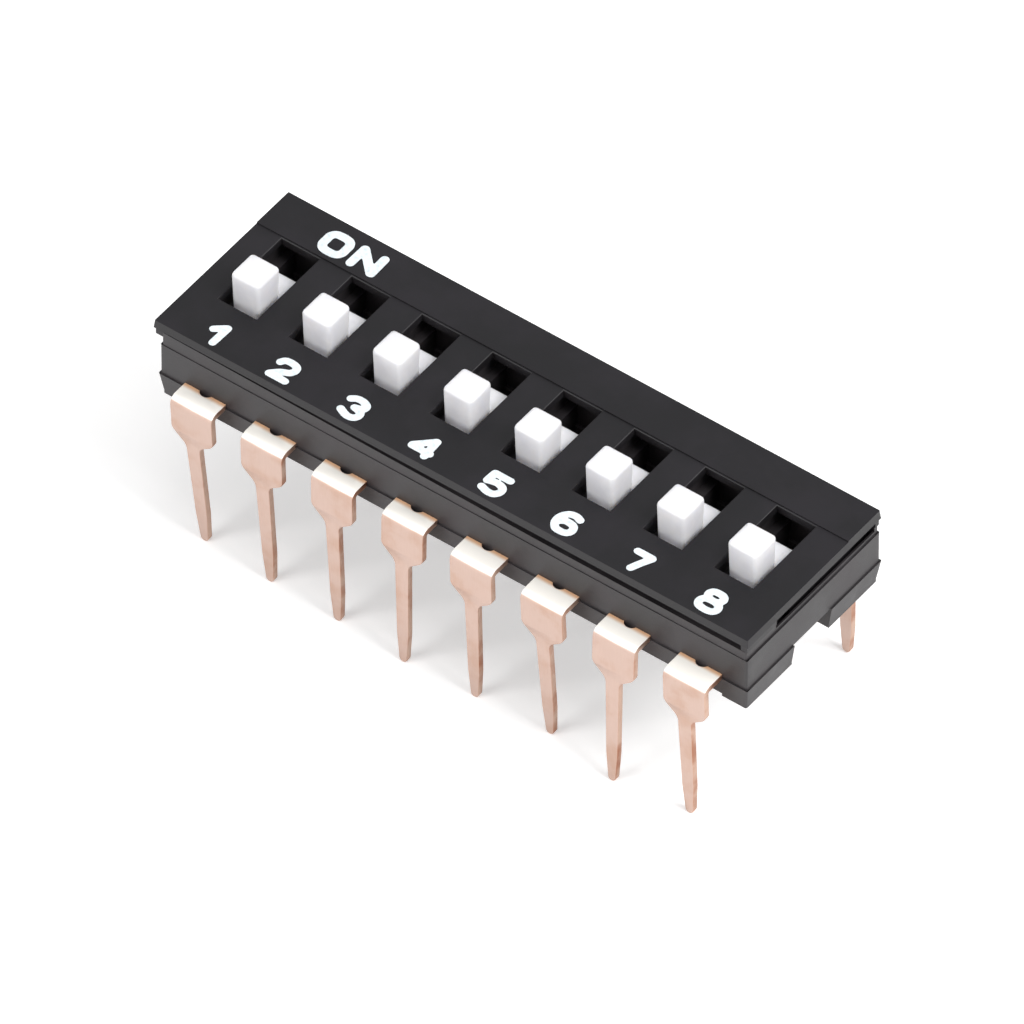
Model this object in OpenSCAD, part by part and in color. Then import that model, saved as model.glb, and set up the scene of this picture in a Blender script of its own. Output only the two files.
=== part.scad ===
// Slide-type DIP switch: a moulded base with insert-moulded terminals, a cover plate with one
// window for each position, and one knobbed slider with its own spring contact in each channel.
// Millimetres. X runs along the row of positions, Y from the numbered side (OFF) to the ON side,
// Z is up. The origin is the middle of the pin pattern on the surface of the printed board.

/* [Positions] */
// Number of switch positions
positions = 8; // [2:1:12]
// Distance from one position to the next, which is also the pin pitch
pitch = 2.54; // [2.1:0.02:3.1]
// Travel of a slider from OFF to ON
travel = 1.25; // [1:0.05:1.5]
// How far the row of sliders and windows lies off the row of terminals
row_shift = -0.15; // [-0.16:0.01:0.16]

/* [Base] */
// Wall between one slider channel and the next
partition_t = 0.74; // [0.6:0.01:0.9]
// Wall in front of the channels, on the numbered side
front_wall_t = 1.165; // [0.96:0.005:1.4]
// Wall behind the channels, on the ON side
back_wall_t = 1.085; // [0.9:0.005:1.3]
// Web between the last channel and the latch slot in the end wall
end_web_t = 0.12; // [0.1:0.01:0.16]
// Skin of the end wall outside the latch slot
end_skin_t = 0.2; // [0.16:0.01:0.25]
// Height of the standoff feet
foot_h = 0.1; // [0.08:0.01:0.12]
// Width of a standoff foot, which runs along the end from a corner to the gate notch
foot_w = 0.9; // [0.75:0.01:1.08]
// Height of the body below the parting line, without the feet
lower_h = 0.73; // [0.6:0.01:0.88]
// Height of the body above the parting line, up to the rim
upper_h = 1.51; // [1.25:0.01:1.82]
// How far the parting edge stands out from the upper walls
parting_lip = 0.05; // [0.04:0.01:0.06]
// How far the lower walls draw in towards the underside
lower_draft = 0.1; // [0.08:0.01:0.12]
// Chamfer along the rim's outer edge
rim_chamfer = 0.06; // [0.04:0.01:0.08]
// Radius of the upright corners of the walls
wall_corner_r = 0.1; // [0.06:0.01:0.14]
// Width of the gate notch in each end, below the parting line
notch_w = 1.78; // [1.48:0.01:2.14]
// Depth of the gate notch
notch_d = 0.6; // [0.45:0.05:0.7]
// Distance of the gate notch's middle from the middle line, towards the numbered side
notch_shift = 0.07; // [0:0.01:0.2]
// Diameter of the support holes under the terminals
support_d = 0.7; // [0.55:0.05:0.85]
// Height of the step over the terminals at the ends of a channel
hold_down_h = 0.2; // [0.16:0.01:0.24]
// Length of that step along the channel
hold_down_l = 0.13; // [0.1:0.01:0.16]

/* [Cover] */
// Thickness of the cover plate
cover_t = 0.28; // [0.23:0.01:0.34]
// Height of the open joint between the rim and the cover's edge
joint_gap = 0.26; // [0.2:0.01:0.32]
// How far the joint reaches in under the cover's long edges
joint_depth = 0.28; // [0.2:0.01:0.34]
// How far the cover's edge stands past the base's upper walls at the ends
end_over = 0.13; // [0.1:0.01:0.16]
// How far the cover's edge stands past the base's upper walls at the long sides
side_over = 0.02; // [0.01:0.01:0.05]
// How far the cover's sides draw in towards the top
cover_draft = 0.08; // [0.06:0.01:0.1]
// Radius of the cover's top edges
cover_edge_r = 0.05; // [0.03:0.01:0.07]
// Radius of the cover's upright corners
cover_corner_r = 0.1; // [0.06:0.01:0.14]
// Height of the raised band behind the windows
band_step = 0.04; // [0.02:0.01:0.06]
// Chamfer round the top of a window
window_chamfer = 0.04; // [0.02:0.01:0.06]
// Length of the cover's corner feet along the ends, on the numbered side
corner_foot_l = 1.45; // [1.2:0.05:1.7]
// Width of the corner feet along the long edges
corner_foot_w = 0.43; // [0.36:0.01:0.5]
// Thickness of a latch tab
tab_t = 0.19; // [0.16:0.01:0.22]
// Length of a latch tab along the end wall
tab_l = 3; // [2.5:0.1:3.6]
// Depth of a latch tab below the cover
tab_h = 1; // [0.8:0.05:1.1]
// How far a latch tab's hook stands out
hook_d = 0.05; // [0.04:0.01:0.06]
// Height of the hook
hook_h = 0.2; // [0.16:0.01:0.24]
// Clearance round a latch tab in its slot
tab_clear = 0.03; // [0.02:0.01:0.04]

/* [Slider] */
// Width of a knob at the cover's surface
knob_w = 1; // [0.83:0.01:1.2]
// Length of a knob along its travel, at the cover's surface
knob_l = 1.02; // [0.85:0.01:1.22]
// Height of a knob above the cover
knob_h = 0.96; // [0.8:0.01:1.15]
// How far each side of a knob flares out over its height
knob_flare = 0.02; // [0:0.01:0.04]
// Radius of a knob's top edges and corners
knob_r = 0.16; // [0.13:0.01:0.19]
// Gap between a knob's side and the window
knob_side_gap = 0.205; // [0.17:0.005:0.25]
// Gap between a knob and the end of the window at the end of its travel
knob_end_gap = 0.425; // [0.36:0.005:0.52]
// How far the slider's bar reaches past the knob at each end
bar_reach = 0.91; // [0.77:0.01:1.1]
// Thickness of the slider's bar
bar_t = 0.5; // [0.41:0.01:0.6]
// Length of the ears near each end of the bar, which run under the cover
ear_l = 0.4; // [0.33:0.01:0.48]
// How far the ears lie in from the bar's ends
ear_inset = 0.12; // [0.1:0.01:0.15]
// How much higher the ears stand than the bar
ear_rise = 0.09; // [0.07:0.01:0.11]
// Clearance of the slider in its channel, on every side
slide_clear = 0.03; // [0.02:0.01:0.04]
// Diameter of the peg that carries the contact
peg_d = 0.4; // [0.32:0.01:0.48]
// Length of the peg
peg_l = 0.25; // [0.2:0.01:0.3]
// Clearance round the peg in the contact's hole
peg_clear = 0.02; // [0.01:0.01:0.03]

/* [Contact] */
// Width of a contact spring
spring_w = 0.9; // [0.75:0.01:1.08]
// Thickness of the spring sheet
spring_t = 0.1; // [0.08:0.01:0.12]
// Half of the flat that lies under the slider's bar
spring_flat = 0.4; // [0.35:0.01:0.48]
// Radius of the upper bends
bend_r_top = 0.18; // [0.15:0.01:0.22]
// Radius of the rounded feet
bend_r_foot = 0.22; // [0.18:0.01:0.26]
// Slope of the spring's legs below the flat
leg_slope = 70; // [60:1:80]
// How far a foot turns up past its lowest point
toe_angle = 60; // [45:5:75]
// Gap between a foot and the terminals
foot_gap = 0.01; // [0.005:0.005:0.02]
// Clearance of the spring in the lower channel, each side
spring_clear = 0.15; // [0.12:0.01:0.2]

/* [Terminals] */
// Thickness of the terminal sheet
terminal_t = 0.22; // [0.18:0.01:0.27]
// How far the terminals' upper face, which is the channels' floor, lies above the parting line
terminal_rise = 0.13; // [0.1:0.01:0.16]
// Distance from the body's side to the middle of a leg
pin_reach = 0.56; // [0.47:0.01:0.67]
// Inner radius of the bend at a terminal's shoulder
shoulder_bend_r = 0.05; // [0.04:0.01:0.1]
// Width of the shoulder
shoulder_w = 1.49; // [1.32:0.01:1.78]
// Height of the shoulder's straight sides below the terminal's top
shoulder_h = 1.26; // [1.05:0.01:1.5]
// Height of the slope between the shoulder and the leg
shoulder_slope_h = 0.42; // [0.35:0.01:0.5]
// How much lower the square side of the shoulder ends than the sloping one
shoulder_skew = 0.03; // [0:0.01:0.1]
// Width of a leg under its shoulder
leg_w = 0.45; // [0.4:0.01:0.54]
// Width of a leg where its point begins
leg_low_w = 0.39; // [0.33:0.01:0.4]
// Width of a leg's rounded point
point_w = 0.25; // [0.2:0.01:0.3]
// Length of the pointed stretch
point_l = 1.1; // [0.9:0.05:1.3]
// Length of a leg below the board's surface
leg_below = 4.7; // [3.9:0.05:5.65]
// Diameter of the anchor hole, half of which shows at the body's side
anchor_d = 0.45; // [0.37:0.01:0.54]
// How far the anchor hole's middle lies inside the upper wall's face
anchor_in = 0.1; // [0.08:0.01:0.12]
// Width of the terminal inside the base
pad_w = 1.3; // [1.24:0.01:1.5]
// Length of the full-width root inside the body's side
root_l = 0.45; // [0.38:0.01:0.54]
// How far a pad reaches past the foot that rests on it
pad_margin = 0.3; // [0.25:0.01:0.36]

/* [Hidden] */
$fn = 32;
// Segments in a small rounded edge
EDGE_STEPS = 5;
// Overshoot of a cut past the face it opens
CUT = 0.1;
// Handling bends the legs a little. For each leg of a row: degrees inwards past square,
// degrees sideways to the right of one who faces its side, and how much further out it stands.
FRONT_SET = [[3.2, 3.3, 0], [1.5, 2.6, 0], [0.7, 1.9, 0], [-1.1, 1.4, 0],
    [1.6, 0.5, 0.12], [3.2, 1.5, 0.14], [-1.9, 1.3, 0.08], [2.2, 1.2, 0.14]];
BACK_SET = [[-1, 0.5, 0], [1, -1, 0], [0, 0.5, 0], [-2, -1.5, 0],
    [1, 0, 0], [-1.5, 1, 0], [0.5, -0.5, 0], [-2.5, 1, 0]];

// Heights of the parting line, the channels' floor (the terminals' upper face), rim and cover
parting_z = foot_h + lower_h;
floor_z = parting_z + terminal_rise;
rim_z = parting_z + upper_h;
cover_z = rim_z + joint_gap;
top_z = cover_z + cover_t;

// Sliders: their bar, the window above and the channel below
window_w = knob_w + 2 * knob_side_gap;
window_l = knob_l + travel + 2 * knob_end_gap;
channel_w = pitch - partition_t;
ear_w = channel_w - 2 * slide_clear;
bar_l = knob_l + 2 * bar_reach;
ear_top_z = cover_z - slide_clear;
bar_top_z = ear_top_z - ear_rise;
bar_z = bar_top_z - bar_t;
ledge_z = bar_z - slide_clear;
spring_channel_w = spring_w + 2 * spring_clear;

// Contact spring: its centre line, from the flat down to the rounded feet, and half its length
spring_z = bar_z - spring_t / 2;
bend_drop = (bend_r_top + bend_r_foot) * (1 - cos(leg_slope));
leg_run = (spring_z - floor_z - foot_gap - spring_t / 2 - bend_drop) / sin(leg_slope);
foot_reach = spring_flat + (bend_r_top + bend_r_foot) * sin(leg_slope) + leg_run * cos(leg_slope);
toe_reach = foot_reach + (bend_r_foot + spring_t / 2) * sin(toe_angle);

// Channels: room for the travel of the bar, and of the contact between the hold-down steps
moving_l = max(bar_l, 2 * (toe_reach + hold_down_l));
channel_l = moving_l + travel + 2 * slide_clear;
channel_y = (front_wall_t - back_wall_t) / 2;
off_y = channel_y - travel / 2;
on_y = channel_y + travel / 2;

// Base: the latch slots in its ends, its upper walls and its parting edge
slot_w = tab_t + 2 * tab_clear;
slot_x = ((positions - 1) * pitch + channel_w) / 2 + abs(row_shift) + end_web_t;
upper_l = 2 * (slot_x + slot_w + end_skin_t);
upper_w = channel_l + front_wall_t + back_wall_t;
body_l = upper_l + 2 * parting_lip;
body_w = upper_w + 2 * parting_lip;
cover_l = upper_l + 2 * end_over;
cover_w = upper_w + 2 * side_over;
slot_front_y = corner_foot_l - upper_w / 2;
slot_back_y = upper_w / 2 - end_skin_t;
slot_y = (slot_front_y + slot_back_y) / 2;
slot_l = slot_back_y - slot_front_y;
slot_z = cover_z - tab_h - tab_clear;

// Terminals: the bend's centre line, the leg's length past it and the two pads' inner ends
bend_r = shoulder_bend_r + terminal_t / 2;
bend_z = floor_z - terminal_t / 2 - bend_r;
leg_l = bend_z + leg_below;
front_pad_y = on_y - foot_reach + pad_margin;
back_pad_y = on_y + foot_reach - pad_margin;

// One end of the frame: -1 is the numbered side or the left end, 1 is the other
SIDES = [-1, 1];

// Middle of the terminals, and of the slider, at position i along X
function position_x(i) = (i - (positions + 1) / 2) * pitch;
function slider_x(i) = position_x(i) + row_shift;

// Points on an arc of radius r round [x, y], from angle a0 to a1
function arc(x, y, r, a0, a1) =
    [for (k = [0:EDGE_STEPS]) let (a = a0 + (a1 - a0) * k / EDGE_STEPS) [x + r * cos(a), y + r * sin(a)]];

// Direction of a line of points at its k-th point
function heading(line, k) =
    let (d = line[min(k + 1, len(line) - 1)] - line[max(k - 1, 0)]) d / norm(d);

// Line of points moved sideways by d
function beside(line, d) =
    [for (k = [0:len(line) - 1]) let (h = heading(line, k)) line[k] + d * [-h[1], h[0]]];

// Outline of a sheet of thickness t whose centre line is given
function sheet_outline(line, t) =
    let (inner = beside(line, -t / 2)) concat(
        beside(line, t / 2), [for (k = [len(line) - 1:-1:0]) inner[k]]);

// Upright outline of width w0 below and w1 above, height h, with its top corners rounded by r
function drafted_outline(w0, w1, h, r) = concat(
    [[-w0 / 2, 0], [w0 / 2, 0]],
    arc(w1 / 2 - r, h - r, r, 0, 90),
    arc(r - w1 / 2, h - r, r, 90, 180)
);

// Extrudes an outline drawn in X and Z along Y, centred
module along_y(l) {
    rotate([90, 0, 0]) linear_extrude(l, center = true) children();
}

// Extrudes an outline drawn in Y and Z along X, centred
module along_x(l) {
    rotate([90, 0, 90]) linear_extrude(l, center = true) children();
}

// Block whose four sides draw in by draft over its height h, with top edges rounded by r
module drafted_block(l, w, h, draft, r) {
    intersection() {
        along_y(w + 2 * abs(draft) + 1) polygon(drafted_outline(l, l - 2 * draft, h, r));
        along_x(l + 2 * abs(draft) + 1) polygon(drafted_outline(w, w - 2 * draft, h, r));
    }
}

// Block centred in X and Y, standing on its lower face
module block(l, w, h) {
    translate([-l / 2, -w / 2, 0]) cube([l, w, h]);
}

// The same block with its upright edges rounded by r
module rounded_block(l, w, h, r) {
    linear_extrude(h) {
        square([l - 2 * r, w], center = true);
        square([l, w - 2 * r], center = true);
        for (s = SIDES, t = SIDES) translate([s * (l / 2 - r), t * (w / 2 - r)]) circle(r);
    }
}

// Places children at each position, shifted by x
module each_position(x = 0) {
    for (i = [1:positions]) translate([position_x(i) + x, 0, 0]) children();
}

// Lower walls, which draw in below the parting line, and the gate notch in each end
module lower_body() {
    difference() {
        intersection() {
            translate([0, 0, parting_z]) mirror([0, 0, 1])
                drafted_block(body_l, body_w, lower_h, lower_draft, 0.001);
            rounded_block(body_l, body_w, parting_z, wall_corner_r + parting_lip);
        }
        for (s = SIDES)
            translate([s * body_l / 2, -notch_shift, 0]) block(2 * notch_d, notch_w, parting_z);
    }
}

// Standoff feet: one along each end on either side of its gate notch
module feet() {
    corner_x = body_l / 2 - lower_draft;
    corner_y = body_w / 2 - lower_draft;
    for (s = SIDES, t = SIDES) {
        notch_y = notch_w / 2 - t * notch_shift;
        foot_l = corner_y - notch_y;
        translate([s * (corner_x - foot_w / 2), t * (notch_y + foot_l / 2), 0]) block(foot_w, foot_l, foot_h);
    }
}

// Upper walls with the chamfered rim, and the raised seat for the cover inside the open joint
module upper_body() {
    seat_l = 2 * slot_x;
    seat_w = upper_w - 2 * joint_depth;
    intersection() {
        translate([0, 0, parting_z]) rounded_block(upper_l, upper_w, upper_h, wall_corner_r);
        union() {
            translate([0, 0, parting_z]) block(upper_l, upper_w, upper_h - rim_chamfer);
            translate([0, 0, rim_z - rim_chamfer])
                drafted_block(upper_l, upper_w, rim_chamfer, rim_chamfer, 0.001);
        }
    }
    translate([0, 0, rim_z - rim_chamfer]) block(seat_l, seat_w, joint_gap + rim_chamfer);
}

// One slider channel: wide where the slider's ears run, narrow below for its contact,
// with a step at each end that holds the terminals down
module channel_cut() {
    floor_l = channel_l - 2 * hold_down_l;
    step_z = floor_z + hold_down_h;
    translate([0, channel_y, 0]) {
        translate([0, 0, ledge_z]) block(channel_w, channel_l, cover_z - ledge_z + CUT);
        translate([0, 0, step_z]) block(spring_channel_w, channel_l, ledge_z - step_z + CUT);
        translate([0, 0, floor_z]) block(spring_channel_w, floor_l, hold_down_h + CUT);
    }
}

// Latch slot in the end wall at side s, with the recess that the hook snaps into
module latch_slot_cut(s) {
    recess_d = hook_d + tab_clear;
    recess_h = hook_h + 2 * tab_clear;
    translate([s * (slot_x + slot_w / 2), slot_y, slot_z]) {
        block(slot_w, slot_l, cover_z - slot_z + CUT);
        translate([s * recess_d, 0, 0]) block(slot_w, tab_l + 2 * tab_clear, recess_h);
    }
}

// Moulded base, open where the terminals were laid in the mould
module base() {
    color("#3b393e") difference() {
        union() {
            feet();
            lower_body();
            upper_body();
        }
        each_position(row_shift) channel_cut();
        for (s = SIDES) latch_slot_cut(s);
        each_position() for (t = SIDES)
            translate([0, t * (body_w / 2 - root_l - support_d), -CUT])
                cylinder(d = support_d, h = floor_z - terminal_t + CUT);
        for (i = [1:positions]) {
            front_terminal(i);
            back_terminal(i);
        }
    }
}

// Window cut through the cover, with a chamfered mouth
module window_cut() {
    mouth_z = top_z - window_chamfer;
    translate([0, channel_y, 0]) {
        translate([0, 0, cover_z - CUT]) block(window_w, window_l, cover_t + band_step + 2 * CUT);
        translate([0, 0, mouth_z])
            drafted_block(window_w, window_l, window_chamfer + CUT, -window_chamfer - CUT, 0.001);
    }
}

// Latch tab with its hook, under the cover at side s
module latch_tab(s) {
    tab_x = slot_x + tab_clear;
    tab_z = cover_z - tab_h;
    hook = [[0, 0], [tab_t, 0], [tab_t + hook_d, hook_h / 2], [tab_t + hook_d, hook_h], [0, hook_h]];
    mirror([s < 0 ? 1 : 0, 0, 0]) {
        translate([tab_x, slot_y - tab_l / 2, tab_z]) cube([tab_t, tab_l, tab_h + CUT]);
        translate([tab_x, slot_y, tab_z]) along_y(tab_l) polygon(hook);
    }
}

// Foot at a corner of the cover, of length l along the end, which rests on the base's rim
module corner_foot(s, t, l) {
    rest_w = corner_foot_w + end_over;
    rest_l = l + side_over;
    translate([s * (cover_l - rest_w) / 2, t * (cover_w - rest_l) / 2, rim_z])
        block(rest_w, rest_l, joint_gap);
}

// Plain plate of thickness t, with drafted sides and rounded top edges
module plate(t) {
    translate([0, 0, cover_z]) drafted_block(cover_l, cover_w, t, cover_draft, cover_edge_r);
}

// Cover: a plate with a raised band behind its windows, feet at the corners on the base's rim,
// and a latch tab at each end
module cover() {
    band_y = channel_y + window_l / 2;
    color("#2e2c31") difference() {
        union() {
            intersection() {
                translate([0, 0, rim_z])
                    rounded_block(cover_l, cover_w, joint_gap + cover_t + band_step, cover_corner_r);
                union() {
                    plate(cover_t);
                    intersection() {
                        plate(cover_t + band_step);
                        translate([0, band_y + cover_w / 2, cover_z]) block(cover_l, cover_w, cover_t + band_step);
                    }
                    for (s = SIDES) {
                        corner_foot(s, -1, corner_foot_l);
                        corner_foot(s, 1, end_skin_t);
                    }
                }
            }
            for (s = SIDES) latch_tab(s);
        }
        each_position(row_shift) window_cut();
    }
}

// Knob: flared a little towards the top, with rounded top edges and corners, standing on the bar
module knob() {
    h = top_z + knob_h - bar_top_z;
    intersection() {
        drafted_block(knob_w, knob_l, h, -knob_flare, knob_r);
        rounded_block(knob_w + 2 * knob_flare, knob_l + 2 * knob_flare, h, knob_r);
    }
}

// Slider at position i, at OFF: bar, ears near its ends, knob and the peg that carries the contact
module slider(i) {
    color("#f3f2f5") translate([slider_x(i), off_y, 0]) {
        translate([0, 0, bar_z]) block(knob_w, bar_l, bar_t);
        for (t = SIDES)
            translate([0, t * ((bar_l - ear_l) / 2 - ear_inset), bar_z]) difference() {
                block(ear_w, ear_l, bar_t + ear_rise);
                translate([0, 0, bar_t]) block(knob_w, ear_l + CUT, ear_rise + CUT);
            }
        translate([0, 0, bar_top_z]) knob();
        translate([0, 0, bar_z - peg_l]) cylinder(d = peg_d, h = peg_l);
    }
}

// Half of the spring's centre line in Y and Z, from the middle of the flat to the toe
function spring_half() = let (
    bend = arc(spring_flat, spring_z - bend_r_top, bend_r_top, 90, 90 - leg_slope),
    down = bend[EDGE_STEPS] + leg_run * [cos(leg_slope), -sin(leg_slope)],
    middle = down + bend_r_foot * [sin(leg_slope), cos(leg_slope)]
) concat(bend, arc(middle[0], middle[1], bend_r_foot, -90 - leg_slope, toe_angle - 90));

// Contact spring at position i, at OFF: a bridge whose two rounded feet run on the terminals
module contact(i) {
    half = spring_half();
    line = concat([for (k = [len(half) - 1:-1:0]) [-half[k][0], half[k][1]]], half);
    color("#c9a15a") translate([slider_x(i), off_y, 0]) difference() {
        along_x(spring_w) polygon(sheet_outline(line, spring_t));
        translate([0, 0, bar_z - spring_t - CUT]) cylinder(d = peg_d + 2 * peg_clear, h = spring_t + 2 * CUT);
    }
}

// Outline of the drop: shoulder, leg and rounded point, hanging from the bend at height 0,
// with its point moved sideways by lean
function drop_outline(lean) = let (
    side_h = shoulder_h - terminal_t - shoulder_bend_r,
    waist_h = side_h + shoulder_slope_h,
    point_h = leg_l - point_l,
    point_x = lean * (point_h - waist_h) / (leg_l - waist_h),
    r = point_w / 2
) concat(
    [[shoulder_w / 2, 0], [shoulder_w / 2, -side_h], [leg_w / 2, -waist_h]],
    [[point_x + leg_low_w / 2, -point_h]],
    arc(lean, r - leg_l, r, 0, -180),
    [[point_x - leg_low_w / 2, -point_h], [-leg_w / 2, -waist_h]],
    [[-shoulder_w / 2, -side_h - shoulder_skew], [-shoulder_w / 2, 0]]
);

// Terminal of the back row at X = 0: pad and root in the base, bend, shoulder and leg outside.
// Its pad begins at pad_y, and its leg is bent by set.
module terminal(pad_y, set) {
    ring_r = bend_r + terminal_t / 2;
    root_y = body_w / 2 - root_l;
    bend_y = body_w / 2 + pin_reach + set[2] - bend_r;
    difference() {
        union() {
            translate([-pad_w / 2, pad_y, floor_z - terminal_t]) cube([pad_w, bend_y - pad_y, terminal_t]);
            translate([-shoulder_w / 2, root_y, floor_z - terminal_t])
                cube([shoulder_w, bend_y - root_y, terminal_t]);
        }
        translate([0, upper_w / 2 - anchor_in, floor_z - terminal_t - CUT])
            cylinder(d = anchor_d, h = terminal_t + 2 * CUT);
    }
    translate([0, bend_y, bend_z]) {
        along_x(shoulder_w) intersection() {
            difference() {
                circle(ring_r);
                circle(shoulder_bend_r);
            }
            polygon([[0, 0], [0, 2 * ring_r], [2 * ring_r, 2 * ring_r],
                2 * ring_r * [cos(set[0]), -sin(set[0])]]);
        }
        rotate([-set[0], 0, 0]) translate([0, bend_r, 0]) along_y(terminal_t)
            polygon(drop_outline(-leg_l * sin(set[1])));
    }
}

// Terminal of position i in the front row, under the numbers
module front_terminal(i) {
    set = FRONT_SET[(i - 1) % len(FRONT_SET)];
    color("#dfc0b2") translate([position_x(i), 0, 0]) rotate(180) terminal(-front_pad_y, set);
}

// Terminal of position i in the back row, behind the word ON
module back_terminal(i) {
    set = BACK_SET[(i - 1) % len(BACK_SET)];
    color("#dfc0b2") translate([position_x(i), 0, 0]) terminal(back_pad_y, set);
}

base();
cover();
for (i = [1:positions]) {
    slider(i);
    contact(i);
    front_terminal(i);
    back_terminal(i);
}
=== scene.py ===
import logging
import math
from collections.abc import Callable, Iterable
from dataclasses import dataclass
from enum import Enum
from functools import cached_property
from typing import Self

import bmesh
import bpy
import numpy as np
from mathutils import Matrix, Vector


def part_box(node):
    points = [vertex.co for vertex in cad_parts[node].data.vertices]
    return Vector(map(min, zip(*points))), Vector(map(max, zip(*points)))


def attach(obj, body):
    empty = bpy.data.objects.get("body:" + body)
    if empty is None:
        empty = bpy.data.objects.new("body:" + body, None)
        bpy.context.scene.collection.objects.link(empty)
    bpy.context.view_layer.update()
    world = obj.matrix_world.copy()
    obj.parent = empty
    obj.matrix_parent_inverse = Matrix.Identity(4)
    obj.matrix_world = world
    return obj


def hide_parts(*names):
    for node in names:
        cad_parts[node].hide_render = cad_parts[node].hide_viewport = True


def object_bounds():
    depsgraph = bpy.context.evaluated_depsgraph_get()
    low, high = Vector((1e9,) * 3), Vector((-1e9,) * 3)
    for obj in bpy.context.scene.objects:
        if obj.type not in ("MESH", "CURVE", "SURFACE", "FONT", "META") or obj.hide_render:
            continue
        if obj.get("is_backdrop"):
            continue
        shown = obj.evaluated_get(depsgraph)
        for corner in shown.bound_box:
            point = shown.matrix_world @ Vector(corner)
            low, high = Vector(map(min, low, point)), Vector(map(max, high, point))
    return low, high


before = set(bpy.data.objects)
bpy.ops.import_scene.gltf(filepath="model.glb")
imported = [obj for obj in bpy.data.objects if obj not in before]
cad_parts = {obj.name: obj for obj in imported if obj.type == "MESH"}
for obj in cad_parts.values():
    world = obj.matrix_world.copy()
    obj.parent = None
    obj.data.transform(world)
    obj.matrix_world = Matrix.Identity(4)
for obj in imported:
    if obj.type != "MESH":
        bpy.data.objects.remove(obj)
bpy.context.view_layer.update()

LOG = logging.getLogger("dip_switch")

# Metres in a millimetre: pieces are shaped at one unit to the millimetre and shrunk when finished
MM = 0.001
# Two points nearer than this, in millimetres, are one point
SAME = 1e-4
# A direction runs along an axis when it has more than this share along it
ALONG = 0.9
# How far a cutter reaches past what it cuts, in millimetres
CLEAR = 1.0
SIDES = (-1, 1)
POSITIONS = range(1, sum(name.startswith("slider_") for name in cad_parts) + 1)

# Sizes that several pieces share, in millimetres: the terminals' spacing, the height of their
# upper faces, their thickness, and the rise of the cover's band
PITCH = 2.54
FLOOR_Z = 0.96
STRIP_T = 0.22
BAND_STEP = 0.04

Colour = tuple[float, float, float, float]
Place = tuple[float, float, float]
Pair = tuple[float, float]
Line = tuple[Pair, ...]
Socket = bpy.types.NodeSocket


# ---- Nodes ----

def linear(hex_colour: str) -> Colour:
    """Turns an sRGB colour into the linear one that a shader takes.

    Args:
        hex_colour: The colour as "#rrggbb".

    Returns:
        Red, green, blue and an alpha of 1.
    """
    parts = [int(hex_colour[k:k + 2], 16) / 255 for k in (1, 3, 5)]
    red, green, blue = (c / 12.92 if c <= 0.04045 else ((c + 0.055) / 1.055) ** 2.4 for c in parts)
    return red, green, blue, 1.0


def feed(tree: bpy.types.NodeTree, node: bpy.types.Node, inputs: dict) -> None:
    """Sets a node's inputs.

    Args:
        tree: The node tree that it is in.
        node: The node.
        inputs: Socket name or number to a value, or to an output socket that is linked to it.
    """
    for key, value in inputs.items():
        if isinstance(value, Socket):
            tree.links.new(value, node.inputs[key])
        else:
            node.inputs[key].default_value = value


def add_node(tree: bpy.types.NodeTree, kind: str, inputs: dict | None = None, **settings) -> bpy.types.Node:
    """Adds one shader node.

    Args:
        tree: The node tree that it goes into.
        kind: The node's type, such as "ShaderNodeMix".
        inputs: What feeds it.
        settings: The node's own properties.

    Returns:
        The new node.
    """
    node = tree.nodes.new(kind)
    for key, value in settings.items():
        setattr(node, key, value)
    feed(tree, node, inputs or {})
    return node


class Surface:
    """A material in the making: one Principled shader and the nodes that feed it."""

    def __init__(self, name: str) -> None:
        """Makes the material with its shader alone.

        Args:
            name: What the material is.
        """
        self.material = bpy.data.materials.new(name)
        self.material.use_nodes = True
        self.tree = self.material.node_tree
        self.tree.nodes.clear()
        self.shader = add_node(self.tree, "ShaderNodeBsdfPrincipled")
        add_node(self.tree, "ShaderNodeOutputMaterial", {"Surface": self.shader.outputs["BSDF"]})

    @cached_property
    def place(self) -> Socket:
        """Gives the object coordinates."""
        return add_node(self.tree, "ShaderNodeTexCoord").outputs["Object"]

    def feed(self, inputs: dict) -> None:
        """Sets inputs of the shader, by name."""
        feed(self.tree, self.shader, inputs)

    def noise(self, size: float, detail: float, roughness: float = 0.5,
              place: Socket | None = None) -> Socket:
        """Makes noise.

        Args:
            size: The size of its blots, in millimetres.
            detail: How many finer layers it has.
            roughness: How strong those are.
            place: Where it is read, if not at the object coordinates.

        Returns:
            The noise, between 0 and 1.
        """
        return add_node(self.tree, "ShaderNodeTexNoise", {
            "Vector": self.place if place is None else place, "Scale": 1 / (size * MM),
            "Detail": detail, "Roughness": roughness}).outputs["Fac"]

    def spread(self, value: Socket, start: Pair, end: Pair = (0.0, 1.0), smooth: bool = False) -> Socket:
        """Maps one range of values onto another, and holds what lies outside at its ends.

        Args:
            value: The value.
            start: The range that it is read in.
            end: The range that comes out.
            smooth: Whether both ends are eased.

        Returns:
            The mapped value.
        """
        return add_node(self.tree, "ShaderNodeMapRange", {
            "Value": value, "From Min": start[0], "From Max": start[1], "To Min": end[0], "To Max": end[1]},
                        interpolation_type="SMOOTHSTEP" if smooth else "LINEAR").outputs["Result"]

    def blend(self, share: Socket, first: Colour | Socket, second: Colour | Socket) -> Socket:
        """Blends from one colour to another: sockets 6, 7 and 2 are the mix node's colours."""
        return add_node(self.tree, "ShaderNodeMix", {"Factor": share, 6: first, 7: second},
                        data_type="RGBA").outputs[2]

    def bump(self, height: Socket, depth: float) -> Socket:
        """Gives the normal of a face with relief of the given depth, in millimetres."""
        return add_node(self.tree, "ShaderNodeBump", {
            "Height": height, "Distance": depth * MM, "Strength": 1.0}).outputs["Normal"]


# ---- Finishes ----

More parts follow.
